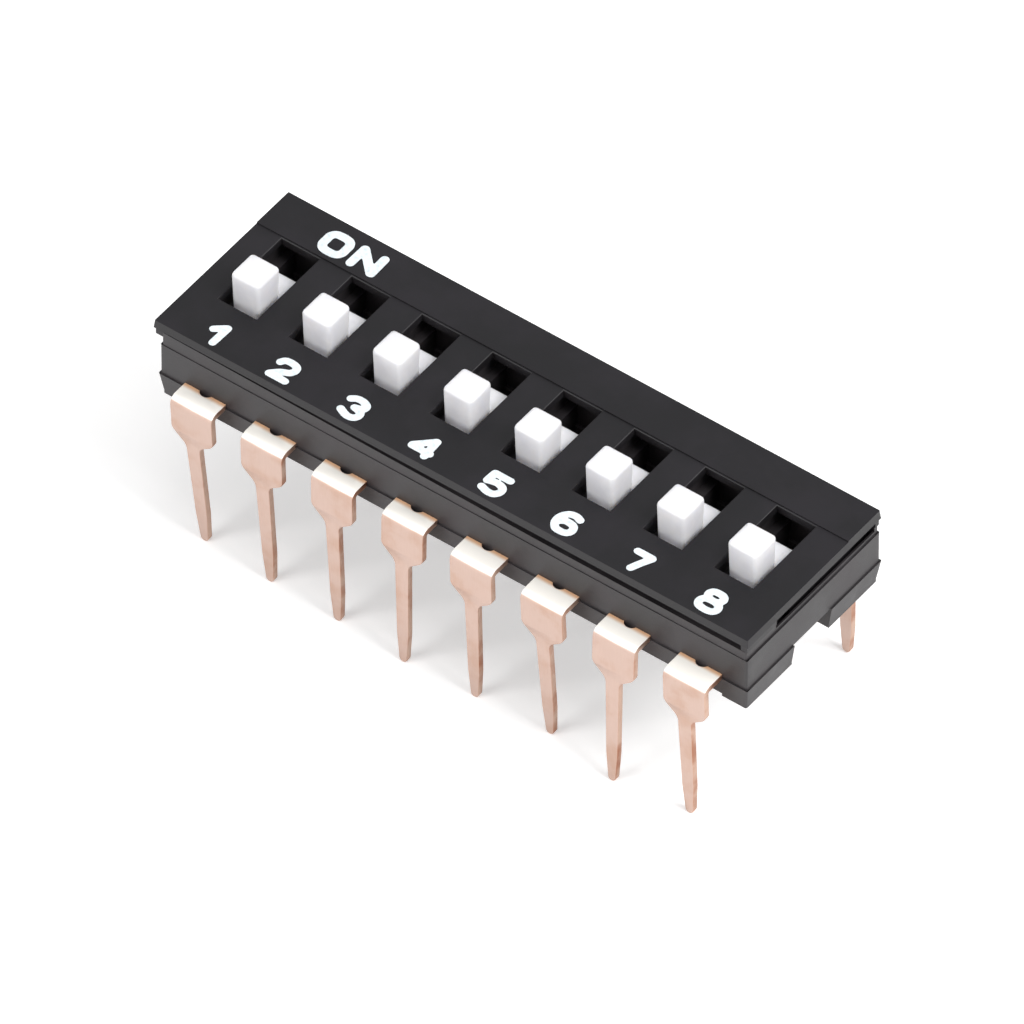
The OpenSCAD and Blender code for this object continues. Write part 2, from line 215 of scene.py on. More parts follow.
@dataclass(frozen=True)
class MouldedPlastic:
    """Injection-moulded thermoplastic, which copies the mould's spark-eroded or polished skin.

    The grain gives the eye a fine sparkle in the sheen, and the slow haze is the flow and
    handling haze that such small mouldings have. With a glow depth, in millimetres, light soaks
    in, so that edges and shaded faces stay bright.
    """

    name: str
    colour: str
    haze: str
    haze_size: float
    grain_size: float
    grain_depth: float
    roughness: Pair
    specular: float
    glow_depth: float = 0.0
    glow_share: float = 0.85
    glow_reach: Place = (1.0, 0.96, 0.9)
    haze_range: Pair = (0.38, 0.68)
    sheen_range: Pair = (0.35, 0.7)

    def make(self) -> bpy.types.Material:
        """Makes the material.

        Returns:
            The material.
        """
        surface = Surface(self.name)
        haze = surface.noise(self.haze_size, detail=4.0, roughness=0.6)
        grain = surface.noise(self.grain_size, detail=3.0, roughness=0.55)
        share = surface.spread(haze, self.haze_range, smooth=True)
        surface.feed({
            "Base Color": surface.blend(share, linear(self.colour), linear(self.haze)),
            "Roughness": surface.spread(haze, self.sheen_range, self.roughness),
            "Normal": surface.bump(grain, self.grain_depth),
            "IOR": 1.5, "Specular IOR Level": self.specular})
        if self.glow_depth:
            surface.feed({"Subsurface Weight": self.glow_share, "Subsurface Radius": self.glow_reach,
                          "Subsurface Scale": self.glow_depth * MM})
        return surface.material


@dataclass(frozen=True)
class RolledStrip:
    """Thin copper-alloy strip with a bright flash of plating, stamped and bent.

    Rolling leaves fine lines along the strip, and the plating's thin and thick places shift its
    colour a little between silver-pink and copper. Where the heights of a highlight are given,
    the metal above them is painted near white and made less metallic: a painted highlight over
    the top and the bend, which turns gold towards the root at root_y. Both are the start and the
    end of a change, in millimetres.
    """

    name: str
    colour: str
    warm: str
    line_width: float
    roughness: Pair
    scratch_depth: float
    patch_size: float = 0.9
    patch_range: Pair = (0.4, 0.72)
    line_range: Pair = (0.3, 0.7)
    line_stretch: Place = (1.0, 0.08, 0.08)
    # Heights where the painted highlight sets in: above them the metal is painted near white
    painted_highlight_z: Pair | None = None
    painted_highlight_metallic: float = 0.1
    painted_highlight: str = "#fffbf4"
    root: str = "#e7b78f"
    root_y: Pair = (3.24, 3.4)

    def make(self) -> bpy.types.Material:
        """Makes the material.

        Returns:
            The material.
        """
        surface = Surface(self.name)
        patches = surface.noise(self.patch_size, detail=3.0, roughness=0.55)
        share = surface.spread(patches, self.patch_range, smooth=True)
        colour = surface.blend(share, linear(self.colour), linear(self.warm))
        stretched = add_node(surface.tree, "ShaderNodeMapping", {
            "Vector": surface.place, "Scale": self.line_stretch}).outputs["Vector"]
        lines = surface.noise(self.line_width, detail=2.0, place=stretched)
        surface.feed({
            "Metallic": 1.0, "Base Color": colour,
            "Roughness": surface.spread(lines, self.line_range, self.roughness),
            "Normal": surface.bump(lines, self.scratch_depth)})
        if self.painted_highlight_z:
            self.add_painted_highlight(surface, colour)
        return surface.material

    def add_painted_highlight(self, surface: Surface, colour: Socket) -> None:
        """Paints a highlight over the top and the bend: whitens the metal above a height, makes it less
        metallic there, and turns it gold towards the root.

        Args:
            surface: The material in the making.
            colour: The metal's colour below the bend.
        """
        axes = add_node(surface.tree, "ShaderNodeSeparateXYZ", {"Vector": surface.place})
        # Painted highlight: the metal turns near white above a height, standing in for the light that the top
        # and the bend catch
        painted_highlight = surface.spread(axes.outputs["Z"], tuple(z * MM for z in self.painted_highlight_z), smooth=True)
        row_y = add_node(surface.tree, "ShaderNodeMath", {0: axes.outputs["Y"]}, operation="ABSOLUTE")
        away_from_root = surface.spread(row_y.outputs[0], tuple(y * MM for y in self.root_y), smooth=True)
        white = surface.blend(away_from_root, linear(self.root), linear(self.painted_highlight))
        surface.feed({"Base Color": surface.blend(painted_highlight, colour, white),
                      "Metallic": surface.spread(painted_highlight, (0.0, 1.0), (1.0, self.painted_highlight_metallic))})


@dataclass(frozen=True)
class PadPrint:
    """White pad-printed ink: an opaque film, thin and a little uneven, so it is satin and cool."""

    name: str
    colour: str
    thin: str
    blot_size: float = 0.12
    thin_range: Pair = (0.5, 0.75)
    roughness: float = 0.55

    def make(self) -> bpy.types.Material:
        """Makes the material.

        Returns:
            The material.
        """
        surface = Surface(self.name)
        share = surface.spread(surface.noise(self.blot_size, detail=3.0), self.thin_range)
        surface.feed({"Base Color": surface.blend(share, linear(self.colour), linear(self.thin)),
                      "Roughness": self.roughness})
        return surface.material


# Glass-filled black thermoplastic from a spark-eroded mould: matt, warm grey where light rakes it
BASE_PLASTIC = MouldedPlastic("glass_filled_black_thermoplastic", "#272426", "#363234", haze_size=1.4,
                              grain_size=0.045, grain_depth=0.0035, roughness=(0.42, 0.58), specular=0.5)
# The same plastic from a smoother mould: the cover's satin black top
COVER_PLASTIC = MouldedPlastic("satin_black_thermoplastic", "#151417", "#1e1c20", haze_size=2.6,
                               grain_size=0.06, grain_depth=0.0015, roughness=(0.45, 0.6), specular=0.23)
# Between the two: the cover's sides and windows, matt where no face of the mould was polished, and coloured
# lighter than the top as painted light
COVER_SIDES_PAINTED_LIGHTER = MouldedPlastic("matt_black_thermoplastic_painted_lighter", "#191719", "#242225", haze_size=1.4,
                             grain_size=0.045, grain_depth=0.0025, roughness=(0.42, 0.56), specular=0.4)
# White acetal-like thermoplastic, polished mould: bright, and light soaks a little way into it
SLIDER_PLASTIC = MouldedPlastic("white_thermoplastic", "#f0eff2", "#e8e7eb", haze_size=1.0, grain_size=0.09,
                                grain_depth=0.0012, roughness=(0.3, 0.4), specular=0.45, glow_depth=0.45)
# Tin-flashed copper alloy: pink-silver on the rolled faces, painted near white over the top and the bend as a
# highlight, gold towards the root
PLATED_FACE = RolledStrip("flash_plated_copper_alloy_painted_highlight", "#c6ada1", "#bfa191", line_width=0.03,
                          roughness=(0.42, 0.5), scratch_depth=0.0002, painted_highlight_z=(0.82, 0.88))
# The same strip where the stamping sheared it: duller, with bare copper where the plating is thin
SHEARED_EDGE = RolledStrip("sheared_copper_edge", "#c8a997", "#a8745a", line_width=0.05,
                           roughness=(0.42, 0.55), scratch_depth=0.0006)
# Copper-alloy spring sheet, bare and bright
SPRING_SHEET = RolledStrip("copper_alloy_spring_sheet", "#d8b070", "#c89a58", line_width=0.03,
                           roughness=(0.2, 0.32), scratch_depth=0.0005)
# Cool white ink of the numbers and the word, a little grey where the film is thin
INK = PadPrint("white_pad_print_ink", "#e6eef2", "#ccd9df")


# ---- Shaping by hand ----

class Part(Enum):
    """What a step picks from a mesh."""

    FACES = "FACE"
    EDGES = "EDGE"
    CORNERS = "VERT"


def add_cube(low: Place, high: Place) -> None:
    """Adds a block between two corners, to the mesh in edit mode or else as an object."""
    middle = [(a + b) / 2 for a, b in zip(low, high)]
    bpy.ops.mesh.primitive_cube_add(size=1, location=middle, scale=[b - a for a, b in zip(low, high)])


def place_and_way(element: bmesh.types.BMFace | bmesh.types.BMEdge | bmesh.types.BMVert,
                  part: Part) -> tuple[Vector, Vector]:
    """Gives where a part of a mesh is and which way it points.

    Args:
        element: The face, edge or corner.
        part: Which of those it is.

    Returns:
        Its middle, and its normal or, for an edge, its direction.
    """
    if part is Part.FACES:
        return element.calc_center_median(), element.normal
    if part is Part.EDGES:
        a, b = (v.co for v in element.verts)
        return (a + b) / 2, (b - a).normalized()
    return element.co, element.normal


def near(a: float, b: float) -> bool:
    """Says whether two measures are the same."""
    return abs(a - b) < SAME


class Workpiece:
    """One mesh that is shaped in edit mode, at one unit to the millimetre."""

    obj: bpy.types.Object

    def start(self, name: str, low: Place, high: Place) -> Self:
        """Starts the piece as a block between two corners and enters edit mode.

        Args:
            name: The piece's name.
            low: Its lowest corner.
            high: Its highest corner.

        Returns:
            The piece.
        """
        deselect()
        add_cube(low, high)
        self.obj = bpy.context.object
        self.obj.name = self.obj.data.name = name
        bpy.ops.object.transform_apply(location=True, rotation=True, scale=True)
        bpy.ops.object.mode_set(mode="EDIT")
        return self

    def add_block(self, low: Place, high: Place) -> None:
        """Adds a separate block between two corners to the mesh and leaves it picked."""
        bpy.ops.mesh.select_all(action="DESELECT")
        add_cube(low, high)

    def add_post(self, foot: Place, radius: float, height: float, sides: int = 32) -> None:
        """Adds a separate upright cylinder to the mesh and leaves it picked.

        Args:
            foot: The middle of its lower end.
            radius: Its radius.
            height: Its height.
            sides: The facets round it.
        """
        middle = (foot[0], foot[1], foot[2] + height / 2)
        bpy.ops.mesh.select_all(action="DESELECT")
        bpy.ops.mesh.primitive_cylinder_add(vertices=sides, radius=radius, depth=height, location=middle)

    def pick(self, part: Part, test: Callable[[Vector, Vector], bool]) -> None:
        """Selects what passes a test and nothing else.

        Args:
            part: Whether faces, edges or corners are picked.
            test: Takes a part's middle and its normal (an edge's is its direction) and says
                whether it is picked.
        """
        bpy.ops.mesh.select_mode(type=part.value)
        bpy.ops.mesh.select_all(action="DESELECT")
        shape = bmesh.from_edit_mesh(self.obj.data)
        shape.normal_update()
        elements = {Part.FACES: shape.faces, Part.EDGES: shape.edges, Part.CORNERS: shape.verts}[part]
        for element in [e for e in elements if test(*place_and_way(e, part))]:
            element.select_set(True)
        shape.select_flush_mode()
        bmesh.update_edit_mesh(self.obj.data)

    def cut(self, axis: int, places: Iterable[float]) -> None:
        """Cuts all round the piece, square to an axis.

        Args:
            axis: 0, 1 or 2 for X, Y or Z.
            places: Where along the axis each cut goes.
        """
        normal = [float(k == axis) for k in range(3)]
        for place in places:
            bpy.ops.mesh.select_all(action="SELECT")
            bpy.ops.mesh.bisect(plane_co=[place * k for k in normal], plane_no=normal, threshold=SAME)

    def extrude(self, move: Place) -> None:
        """Extrudes the picked faces along X, Y and Z."""
        bpy.ops.mesh.extrude_region_move(TRANSFORM_OT_translate={"value": move})

    def spin(self, middle: Place, axis: Place, degrees: float, steps: int) -> None:
        """Sweeps the picked faces round an axis through a point, in so many steps."""
        bpy.ops.mesh.spin(steps=steps, angle=math.radians(degrees), center=middle, axis=axis)

    def shift(self, move: Place) -> None:
        """Moves what is picked along X, Y and Z."""
        bpy.ops.transform.translate(value=move)

    def stretch(self, scale: Place, about: Place) -> None:
        """Scales what is picked along X, Y and Z about a point that stays."""
        bpy.ops.transform.resize(value=scale, center_override=about)

    def turn(self, degrees: float, axis: str, about: Place) -> None:
        """Turns what is picked about a point, counter-clockwise as seen from the axis's tip."""
        bpy.ops.transform.rotate(value=-math.radians(degrees), orient_axis=axis, center_override=about)

    def round_edges(self, radius: float, segments: int = 3) -> None:
        """Bevels the picked edges by a width, with so many facets across it."""
        bpy.ops.mesh.bevel(offset=radius, segments=segments, profile=0.5, affect="EDGES", clamp_overlap=True)

    def refinish(self) -> None:
        """Gives the picked faces the piece's second finish."""
        while len(self.obj.data.materials) < 2:
            self.obj.data.materials.append(None)
        self.obj.active_material_index = 1
        bpy.ops.object.material_slot_assign()

    def modify(self, kind: str, **settings) -> None:
        """Adds a modifier and applies it, from edit mode and back to it.

        Args:
            kind: The modifier's type.
            settings: Its properties.
        """
        bpy.ops.object.mode_set(mode="OBJECT")
        modifier = self.obj.modifiers.new(kind.lower(), kind)
        for key, value in settings.items():
            setattr(modifier, key, value)
        bpy.ops.object.modifier_apply(modifier=modifier.name)
        bpy.ops.object.mode_set(mode="EDIT")

    def carve(self, cutter: "Workpiece") -> None:
        """Takes another piece out of this one and uses it up.

        Args:
            cutter: The piece that is taken out.
        """
        deselect()
        bpy.context.view_layer.objects.active = self.obj
        self.obj.select_set(True)
        bpy.ops.object.mode_set(mode="EDIT")
        self.modify("BOOLEAN", object=cutter.obj, operation="DIFFERENCE", solver="EXACT")
        bpy.data.objects.remove(cutter.obj)

    def soften(self, width: float, angle: float = 35.0) -> None:
        """Rounds every edge that is sharper than an angle, in degrees, by a width."""
        self.modify("BEVEL", width=width, segments=2, limit_method="ANGLE",
                    angle_limit=math.radians(angle), miter_outer="MITER_ARC", use_clamp_overlap=True)

    def copy(self, name: str) -> "Workpiece":
        """Copies the piece as it is and enters edit mode on the copy.

        Args:
            name: The copy's name.

        Returns:
            The copy.
        """
        twin = Workpiece()
        twin.obj = copy_of(self.obj, name)
        bpy.ops.object.mode_set(mode="EDIT")
        return twin

    def drop(self) -> None:
        """Throws the piece away."""
        deselect()
        bpy.data.objects.remove(self.obj)

    def finish(self, smooth: float = 40.0) -> bpy.types.Object:
        """Recalculates the normals, shrinks the piece to metres and smooths it.

        Args:
            smooth: The largest angle, in degrees, between facets that shade as one.

        Returns:
            The finished object.
        """
        bpy.ops.mesh.select_mode(type="VERT")
        bpy.ops.mesh.select_all(action="SELECT")
        bpy.ops.mesh.remove_doubles(threshold=SAME)
        bpy.ops.mesh.normals_make_consistent(inside=False)
        bpy.ops.transform.resize(value=(MM, MM, MM), center_override=(0, 0, 0))
        bpy.ops.object.mode_set(mode="OBJECT")
        bpy.ops.object.shade_smooth_by_angle(angle=math.radians(smooth))
        self.modify("WEIGHTED_NORMAL", keep_sharp=True)
        bpy.ops.object.mode_set(mode="OBJECT")
        return self.obj


def deselect() -> None:
    """Leaves object mode ready for a new piece, with nothing selected."""
    if bpy.context.mode != "OBJECT":
        bpy.ops.object.mode_set(mode="OBJECT")
    bpy.ops.object.select_all(action="DESELECT")


def copy_of(obj: bpy.types.Object, name: str, move: Place = (0, 0, 0)) -> bpy.types.Object:
    """Copies a piece with its own mesh.

    Args:
        obj: The piece.
        name: The copy's name.
        move: How far the copy's mesh is moved.

    Returns:
        The copy.
    """
    deselect()
    obj.select_set(True)
    bpy.context.view_layer.objects.active = obj
    bpy.ops.object.duplicate(linked=False)
    copy = bpy.context.object
    copy.name = copy.data.name = name
    bpy.ops.transform.translate(value=move)
    bpy.ops.object.transform_apply(location=True, rotation=False, scale=False)
    return copy


def dress(obj: bpy.types.Object, *materials: bpy.types.Material) -> bpy.types.Object:
    """Gives a piece its materials, one for each slot, in place of any that it has.

    Args:
        obj: The piece.
        materials: The materials.

    Returns:
        The piece.
    """
    slots = obj.data.materials
    for k, material in enumerate(materials):
        if k < len(slots):
            slots[k] = material
        else:
            slots.append(material)
    return obj


def seat(obj: bpy.types.Object, body: str, slot: str, *nodes: str) -> None:
    """Puts a piece on its body, in place of the nodes that it stands for, and reports it.

    Args:
        obj: The piece.
        body: The body that it rides on.
        slot: The record's material slot, which is not used.
        nodes: The nodes that it replaces.
    """
    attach(obj, body)
    if nodes:
        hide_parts(*nodes)
    LOG.info("%s: %d faces on %s", obj.name, len(obj.data.polygons), body)


def box_mm(node: str) -> tuple[Vector, Vector]:
    """Gives a node's lowest and highest corners in millimetres."""
    low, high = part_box(node)
    return low / MM, high / MM


def middle_x(node: str) -> float:
    """Gives a node's middle along X in millimetres."""
    low, high = box_mm(node)
    return (low.x + high.x) / 2


# ---- Base ----

@dataclass
class MouldedBase(Workpiece):
    """The box below: walls round eight channels, the raised seat, feet and gate notches.

    Sizes are in millimetres.
    """

    foot_h: float = 0.1
    foot_w: float = 0.9
    parting_z: float = 0.83
    rim_z: float = 2.34
    ledge_z: float = 1.95
    lip: float = 0.05
    lower_draft: float = 0.1
    end_rim_z: float = 2.16
    rim_step_z: float = 2.02
    rim_step: Pair = (0.05, 0.022)
    front_rise: float = 0.18
    front_rise_x: float = 3.0
    corner_r: float = 0.1
    seat_x: float = 10.06
    seat_y: float = 2.92
    channel_w: float = 1.8
    spring_channel_w: float = 1.2
    channel_y: Pair = (-2.035, 2.115)
    hold_down_l: float = 0.13
    hold_down_h: float = 0.2
    slot_w: float = 0.34
    slot_y: Pair = (-1.75, 3.0)
    slot_z: float = 1.57
    notch_y: Pair = (-0.96, 0.82)
    notch_d: float = 0.6
    support_r: float = 0.35
    support_y: float = 2.1
    edge_r: float = 0.025
    plastic: MouldedPlastic = BASE_PLASTIC

    def build(self) -> bpy.types.Object:
        """Models the base from the block of its upper walls.

        Returns:
            The finished base.
        """
        high = box_mm("base")[1]
        wall = Vector((high.x - self.lip, high.y - self.lip, self.rim_z))
        self.start("moulded_base", (-wall.x, -wall.y, self.parting_z),
                   (wall.x, wall.y, self.rim_step_z))
        self.step_rim(wall)
        middles = [middle_x(f"slider_{i}") for i in POSITIONS]
        widths = (self.channel_w / 2, self.spring_channel_w / 2)
        self.cut(0, [m + s * w for m in middles for w in widths for s in SIDES])
        foot_x = high.x - self.lower_draft - self.foot_w
        self.cut(0, [s * x for s in SIDES for x in (self.seat_x, self.seat_x + self.slot_w, foot_x)])
        front, back = self.channel_y
        self.cut(1, [front, front + self.hold_down_l, back - self.hold_down_l, back])
        self.cut(1, [-self.seat_y, self.seat_y, *self.notch_y, *self.slot_y])
        self.raise_seat(high.z)
        self.lift_front_rim(wall)
        self.sink_channels(middles, high.z)
        self.sink_slots()
        self.hang_lower_walls(high, foot_x)
        self.round_walls(wall)
        self.carve_openings()
        self.soften(self.edge_r)
        return dress(self.finish(), self.plastic.make())

    def step_rim(self, wall: Vector) -> None:
        """Draws up the rim, a little inside the walls.

        Args:
            wall: The upper walls' highest corner.
        """
        self.pick(Part.FACES, lambda p, n: n.z > ALONG)
        self.extrude((0, 0, 0))
        shrink = [1 - self.rim_step[k] / wall[k] for k in (0, 1)]
        self.stretch((*shrink, 1), (0, 0, self.rim_step_z))
        self.extrude((0, 0, self.rim_z - self.rim_step_z))

    def raise_seat(self, top: float) -> None:
        """Raises the seat that the cover lies on, inside the open joint, to its height."""
        self.pick(Part.FACES, lambda p, n: n.z > ALONG and abs(p.x) < self.seat_x and abs(p.y) < self.seat_y)
        self.extrude((0, 0, top - self.rim_z))

    def lift_front_rim(self, wall: Vector) -> None:
        """Raises the front rim towards the left, where the joint under the cover closes.

        Args:
            wall: The upper walls' highest corner.
        """
        def on_rim(p: Vector) -> bool:
            """Says whether a corner is on top of the front rim."""
            return p.y < SAME - self.seat_y and near(p.z, self.rim_z)

        corners = bmesh.from_edit_mesh(self.obj.data).verts
        for x in {round(v.co.x, 4) for v in corners if on_rim(v.co)}:
            rise = self.front_rise * (self.front_rise_x - x) / (self.front_rise_x + wall.x)
            if rise > 0:
                self.pick(Part.CORNERS, lambda p, n: on_rim(p) and near(p.x, x))
                self.shift((0, 0, rise))

    def sink_channels(self, middles: list[float], top: float) -> None:
        """Sinks the channels in three steps: for the ears, for the contact, and between the hold-downs.

        Args:
            middles: The channels' middles along X.
            top: The seat's height.
        """
        front, back = self.channel_y
        step_z = FLOOR_Z + self.hold_down_h
        for width, start, end, inset in ((self.channel_w, top, self.ledge_z, 0.0),
                                         (self.spring_channel_w, self.ledge_z, step_z, 0.0),
                                         (self.spring_channel_w, step_z, FLOOR_Z, self.hold_down_l)):
            self.pick(Part.FACES, lambda p, n: n.z > ALONG and near(p.z, start)
                      and front + inset < p.y < back - inset
                      and min(abs(p.x - m) for m in middles) < width / 2)
            self.extrude((0, 0, end - start))

    def sink_slots(self) -> None:
        """Sinks the latch slots in the ends."""
        self.pick(Part.FACES, lambda p, n: n.z > ALONG and self.seat_x < abs(p.x) < self.seat_x + self.slot_w
                  and self.slot_y[0] < p.y < self.slot_y[1])
        self.extrude((0, 0, self.slot_z - self.rim_z))

    def hang_lower_walls(self, high: Vector, foot_x: float) -> None:
        """Draws down the lower walls from their lip, drafted, and the feet under the ends.

        Args:
            high: The base's highest corner.
            foot_x: Where the feet begin, from the middle.
        """
        self.pick(Part.FACES, lambda p, n: n.z < -ALONG)
        self.extrude((0, 0, 0))
        self.stretch((high.x / (high.x - self.lip), high.y / (high.y - self.lip), 1), (0, 0, self.parting_z))
        self.extrude((0, 0, self.foot_h - self.parting_z))
        self.stretch((1 - self.lower_draft / high.x, 1 - self.lower_draft / high.y, 1), (0, 0, self.foot_h))
        self.pick(Part.FACES, lambda p, n: n.z < -ALONG and abs(p.x) > foot_x
                  and not self.notch_y[0] < p.y < self.notch_y[1])
        self.extrude((0, 0, -self.foot_h))

    def round_walls(self, wall: Vector) -> None:
        """Rounds the upright corners, the stepped rim's too.

        Args:
            wall: The upper walls' highest corner.
        """
        reach = self.rim_step[0] + SAME
        self.pick(Part.EDGES, lambda p, d: abs(d.z) > ALONG and abs(p.x) > wall.x - reach
                  and abs(p.y) > wall.y - reach)
        self.round_edges(self.corner_r, segments=4)

    def carve_openings(self) -> None:
        """Cuts the gate notches, the rim over the latches, and the support holes under the terminals."""
        half = self.obj.dimensions.x / 2
        cutter = Workpiece().start("cutter", (-half - CLEAR, self.notch_y[0], -CLEAR),
                                   (-half + self.notch_d, self.notch_y[1], self.parting_z))
        cutter.add_block((half - self.notch_d, self.notch_y[0], -CLEAR),
                         (half + CLEAR, self.notch_y[1], self.parting_z))
        slot_x = self.seat_x + self.slot_w / 2
        for start, end in ((-half - CLEAR, -slot_x), (slot_x, half + CLEAR)):
            cutter.add_block((start, self.slot_y[0], self.end_rim_z),
                             (end, self.slot_y[1], self.rim_z + CLEAR))
        for i in POSITIONS:
            for side in SIDES:
                foot = (middle_x(f"back_terminal_{i}"), side * self.support_y, -CLEAR)
                cutter.add_post(foot, self.support_r, FLOOR_Z - STRIP_T + CLEAR)
        self.carve(cutter)


# ---- Cover ----

@dataclass
class CoverPlate(Workpiece):
    """The plate on top: eight windows, a raised band, corner feet and latch tabs.

    Sizes are in millimetres.
    """

    thickness: float = 0.28
    band_y: float = 1.67
    band_r: float = 0.039
    joint_gap: float = 0.26
    draft: float = 0.03
    end_shift: float = -0.1
    edge_r: float = 0.05
    corner_r: float = 0.1
    window_w: float = 1.38
    window_shift: float = -0.04
    window_y: Pair = (-1.4, 1.622)
    mouth_r: float = 0.044
    foot_w: float = 0.38
    foot_inset: float = 0.05
    front_foot_l: float = 1.47
    back_foot_l: float = 0.22
    tab_x: Pair = (10.09, 10.28)
    tab_y: Pair = (-0.875, 2.125)
    # The top's finish ends where a rounding has turned a face's normal this far from Z; past it the faces
    # take the sides' lighter colour, which is painted light
    top_share: float = 0.92
    plastic: MouldedPlastic = COVER_PLASTIC
    # The sides' finish: its lighter colour is painted light
    sides: MouldedPlastic = COVER_SIDES_PAINTED_LIGHTER

    def build(self) -> bpy.types.Object:
        """Models the plate from a block.

        Returns:
            The finished plate.
        """
        low, high = box_mm("cover")
        top = high.z - BAND_STEP
        under = top - self.thickness
        middles = [middle_x(f"slider_{i}") + self.window_shift for i in POSITIONS]
        self.start("cover_plate", (low.x, low.y, under), (high.x, high.y, top))
        foot_end = Vector((high.x - self.foot_inset, high.y - self.foot_inset))
        foot_x = high.x - self.foot_w
        feet_y = (low.y + self.front_foot_l, high.y - self.back_foot_l)
        self.cut(0, [m + s * self.window_w / 2 for m in middles for s in SIDES])
        self.cut(0, [s * x for s in SIDES for x in (foot_x, foot_end.x, *self.tab_x)])
        self.cut(1, [*self.window_y, self.band_y, *feet_y, *self.tab_y, -foot_end.y, foot_end.y])
        self.pick(Part.FACES, lambda p, n: n.z > ALONG and p.y > self.band_y)
        self.extrude((0, 0, BAND_STEP))
        self.pick(Part.FACES, lambda p, n: n.z < -ALONG and foot_x < abs(p.x) < foot_end.x
                  and abs(p.y) < foot_end.y and not feet_y[0] < p.y < feet_y[1])
        self.extrude((0, 0, -self.joint_gap))
        self.hang_tabs(under, low.z)
        self.draw_in_sides(high, top)
        self.open_windows(middles, top)
        # Faces turned away from straight up take the sides' finish, coloured lighter as painted light
        self.pick(Part.FACES, lambda p, n: n.z < self.top_share)
        self.refinish()
        return dress(self.finish(), self.plastic.make(), self.sides.make())

    def hang_tabs(self, under: float, tip: float) -> None:
        """Draws down the latch tabs.

        Args:
            under: The height of the plate's lower face.
            tip: The height of their tips.
        """
        self.pick(Part.FACES, lambda p, n: n.z < -ALONG and near(p.z, under)
                  and self.tab_x[0] < abs(p.x) < self.tab_x[1] and self.tab_y[0] < p.y < self.tab_y[1])
        self.extrude((0, 0, tip - under))

    def draw_in_sides(self, high: Vector, top: float) -> None:
        """Drafts the sides, rounds the corners and the top's edge, and sets the ends over to one side.

        Args:
            high: The plate's highest corner.
            top: The height of its upper face without the band.
        """
        for axis in (0, 1):
            for side in SIDES:
                move = [-side * self.draft * (k == axis) for k in range(3)]
                self.pick(Part.CORNERS, lambda p, n: p.z > top - SAME and side * p[axis] > high[axis] - SAME)
                self.shift(move)
        rim = (high.x - self.draft, high.y - self.draft)

        def within(p: Vector, reach: float) -> list[bool]:
            """Says of X and of Y whether a point is within reach of the plate's outline."""
            return [abs(p[k]) > rim[k] - reach for k in (0, 1)]

        def on_top(p: Vector) -> bool:
            """Says whether a point lies on the upper face or on the band."""
            return near(p.z, top + BAND_STEP if p.y > self.band_y else top)

        self.pick(Part.EDGES, lambda p, d: abs(d.z) > ALONG and all(within(p, SAME)))
        self.round_edges(self.corner_r, segments=4)
        self.pick(Part.EDGES, lambda p, d: on_top(p) and abs(d.z) < 1 - ALONG
                  and (any(within(p, SAME)) or all(within(p, self.corner_r))))
        self.round_edges(self.edge_r)
        self.pick(Part.EDGES, lambda p, d: abs(d.x) > ALONG and near(p.y, self.band_y) and p.z > top + SAME)
        self.round_edges(self.band_r, segments=2)
        self.pick(Part.CORNERS, lambda p, n: abs(p.x) > high.x - 2 * self.corner_r)
        self.shift((self.end_shift, 0, 0))

    def open_windows(self, middles: list[float], top: float) -> None:
        """Opens each window through the plate and rounds its mouth.

        Args:
            middles: The windows' middles along X.
            top: The height of the plate's upper face.
        """
        def within(p: Vector, middle: float, more: float) -> bool:
            """Says whether a point is in the window at a middle, made larger all round by more."""
            return (abs(p.x - middle) < self.window_w / 2 + more
                    and self.window_y[0] - more < p.y < self.window_y[1] + more)

        for middle in middles:
            self.pick(Part.FACES, lambda p, n: abs(n.z) > ALONG and within(p, middle, 0))
            bpy.ops.mesh.delete(type="FACE")
            self.pick(Part.EDGES, lambda p, d: p.z < top + SAME and abs(d.z) < ALONG
                      and within(p, middle, SAME))
            bpy.ops.mesh.bridge_edge_loops()
        for middle in middles:
            self.pick(Part.EDGES, lambda p, d: near(p.z, top) and abs(d.z) < ALONG
                      and within(p, middle, SAME) and not within(p, middle, -SAME))
            self.round_edges(self.mouth_r)


# ---- Sliders ----

